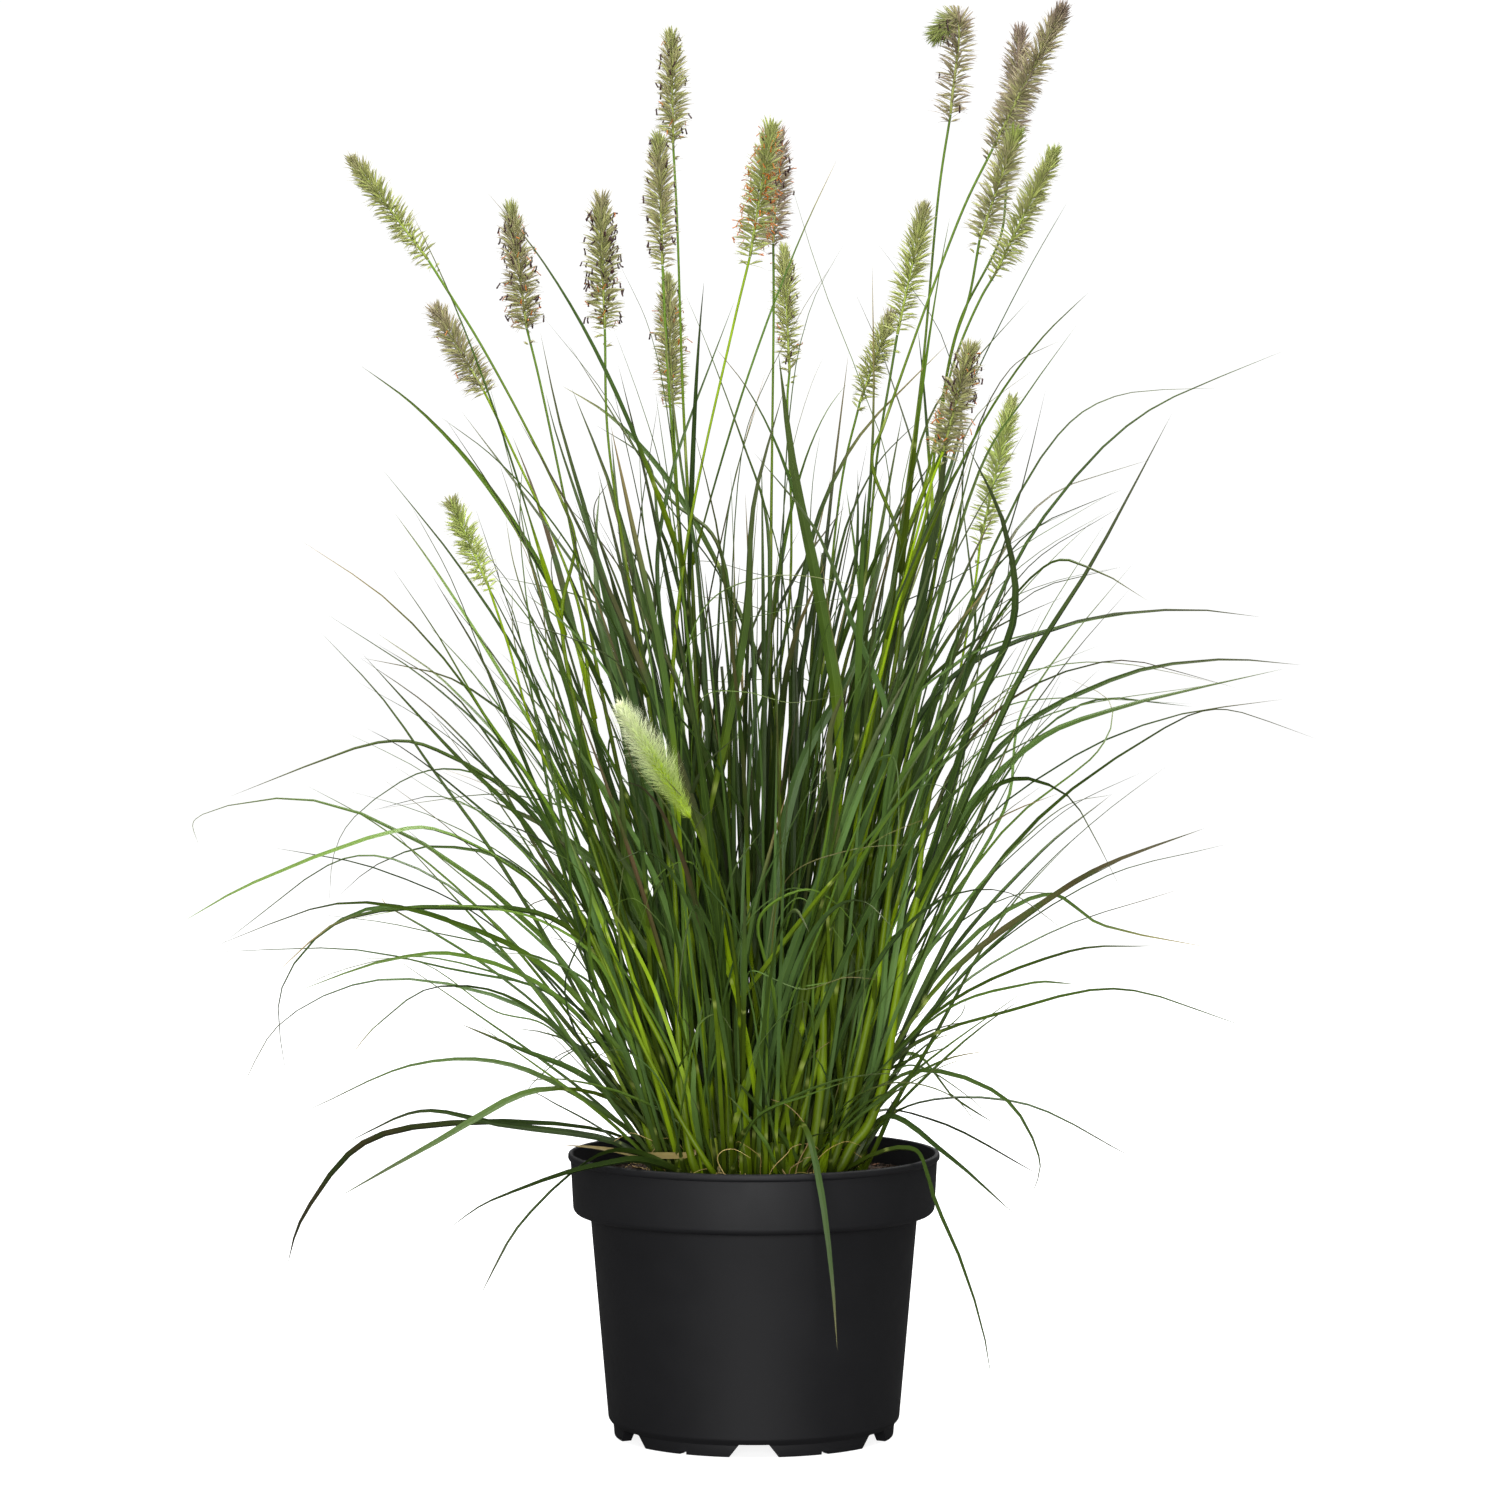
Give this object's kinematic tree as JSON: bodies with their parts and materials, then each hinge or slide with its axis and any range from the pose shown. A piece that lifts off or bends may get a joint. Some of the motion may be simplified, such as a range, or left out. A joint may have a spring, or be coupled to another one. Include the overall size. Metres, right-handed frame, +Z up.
{
  "type": "potted fountain grass",
  "caption": "Clump of fountain grass with narrow arching leaves and bottle-brush flower spikes on thin upright stems, growing in a round dark nursery pot.",
  "frame": {"origin": "on the pot's axis, at the level that its feet stand on", "axes": "+Z up; +Y away from the side that the picture shows, +X to its right"},
  "size_m": [0.582, 0.57, 0.7289],
  "materials": {
    "pot": "satin",
    "soil": "matte",
    "foliage": "matte",
    "spike_green": "matte",
    "spike_purple": "matte",
    "spike_amber": "matte",
    "spike_lime": "matte"
  },
  "bodies": {
    "root": {"pot": "pot", "soil": "soil", "leaf_tuft_01": "foliage", "leaf_tuft_02": "foliage", "leaf_tuft_03": "foliage", "flowering_shoot_01": "foliage", "flower_spike_01": "spike_purple", "flowering_shoot_02": "foliage", "flower_spike_02": "spike_green", "flowering_shoot_03": "foliage", "flower_spike_03": "spike_green", "leaf_tuft_04": "foliage", "leaf_tuft_05": "foliage", "flowering_shoot_04": "foliage", "flower_spike_04": "spike_green", "leaf_tuft_06": "foliage", "leaf_tuft_07": "foliage", "leaf_tuft_08": "foliage", "flowering_shoot_05": "foliage", "flower_spike_05": "spike_lime", "leaf_tuft_09": "foliage", "flowering_shoot_06": "foliage", "flower_spike_06": "spike_green", "flowering_shoot_07": "foliage", "flower_spike_07": "spike_lime", "flowering_shoot_08": "foliage", "flower_spike_08": "spike_lime", "flowering_shoot_09": "foliage", "flower_spike_09": "spike_purple", "flowering_shoot_10": "foliage", "flower_spike_10": "spike_green", "flowering_shoot_11": "foliage", "flower_spike_11": "spike_green", "flowering_shoot_12": "foliage", "flower_spike_12": "spike_purple", "flowering_shoot_13": "foliage", "flower_spike_13": "spike_purple", "flowering_shoot_14": "foliage", "flower_spike_14": "spike_purple", "flowering_shoot_15": "foliage", "flower_spike_15": "spike_amber", "flowering_shoot_16": "foliage", "flower_spike_16": "spike_green", "flowering_shoot_17": "foliage", "flower_spike_17": "spike_green", "flowering_shoot_18": "foliage", "flower_spike_18": "spike_purple", "flowering_shoot_19": "foliage", "flower_spike_19": "spike_amber", "flowering_shoot_20": "foliage", "flower_spike_20": "spike_amber", "flowering_shoot_21": "foliage", "flower_spike_21": "spike_purple"}
  },
  "joints": []
}
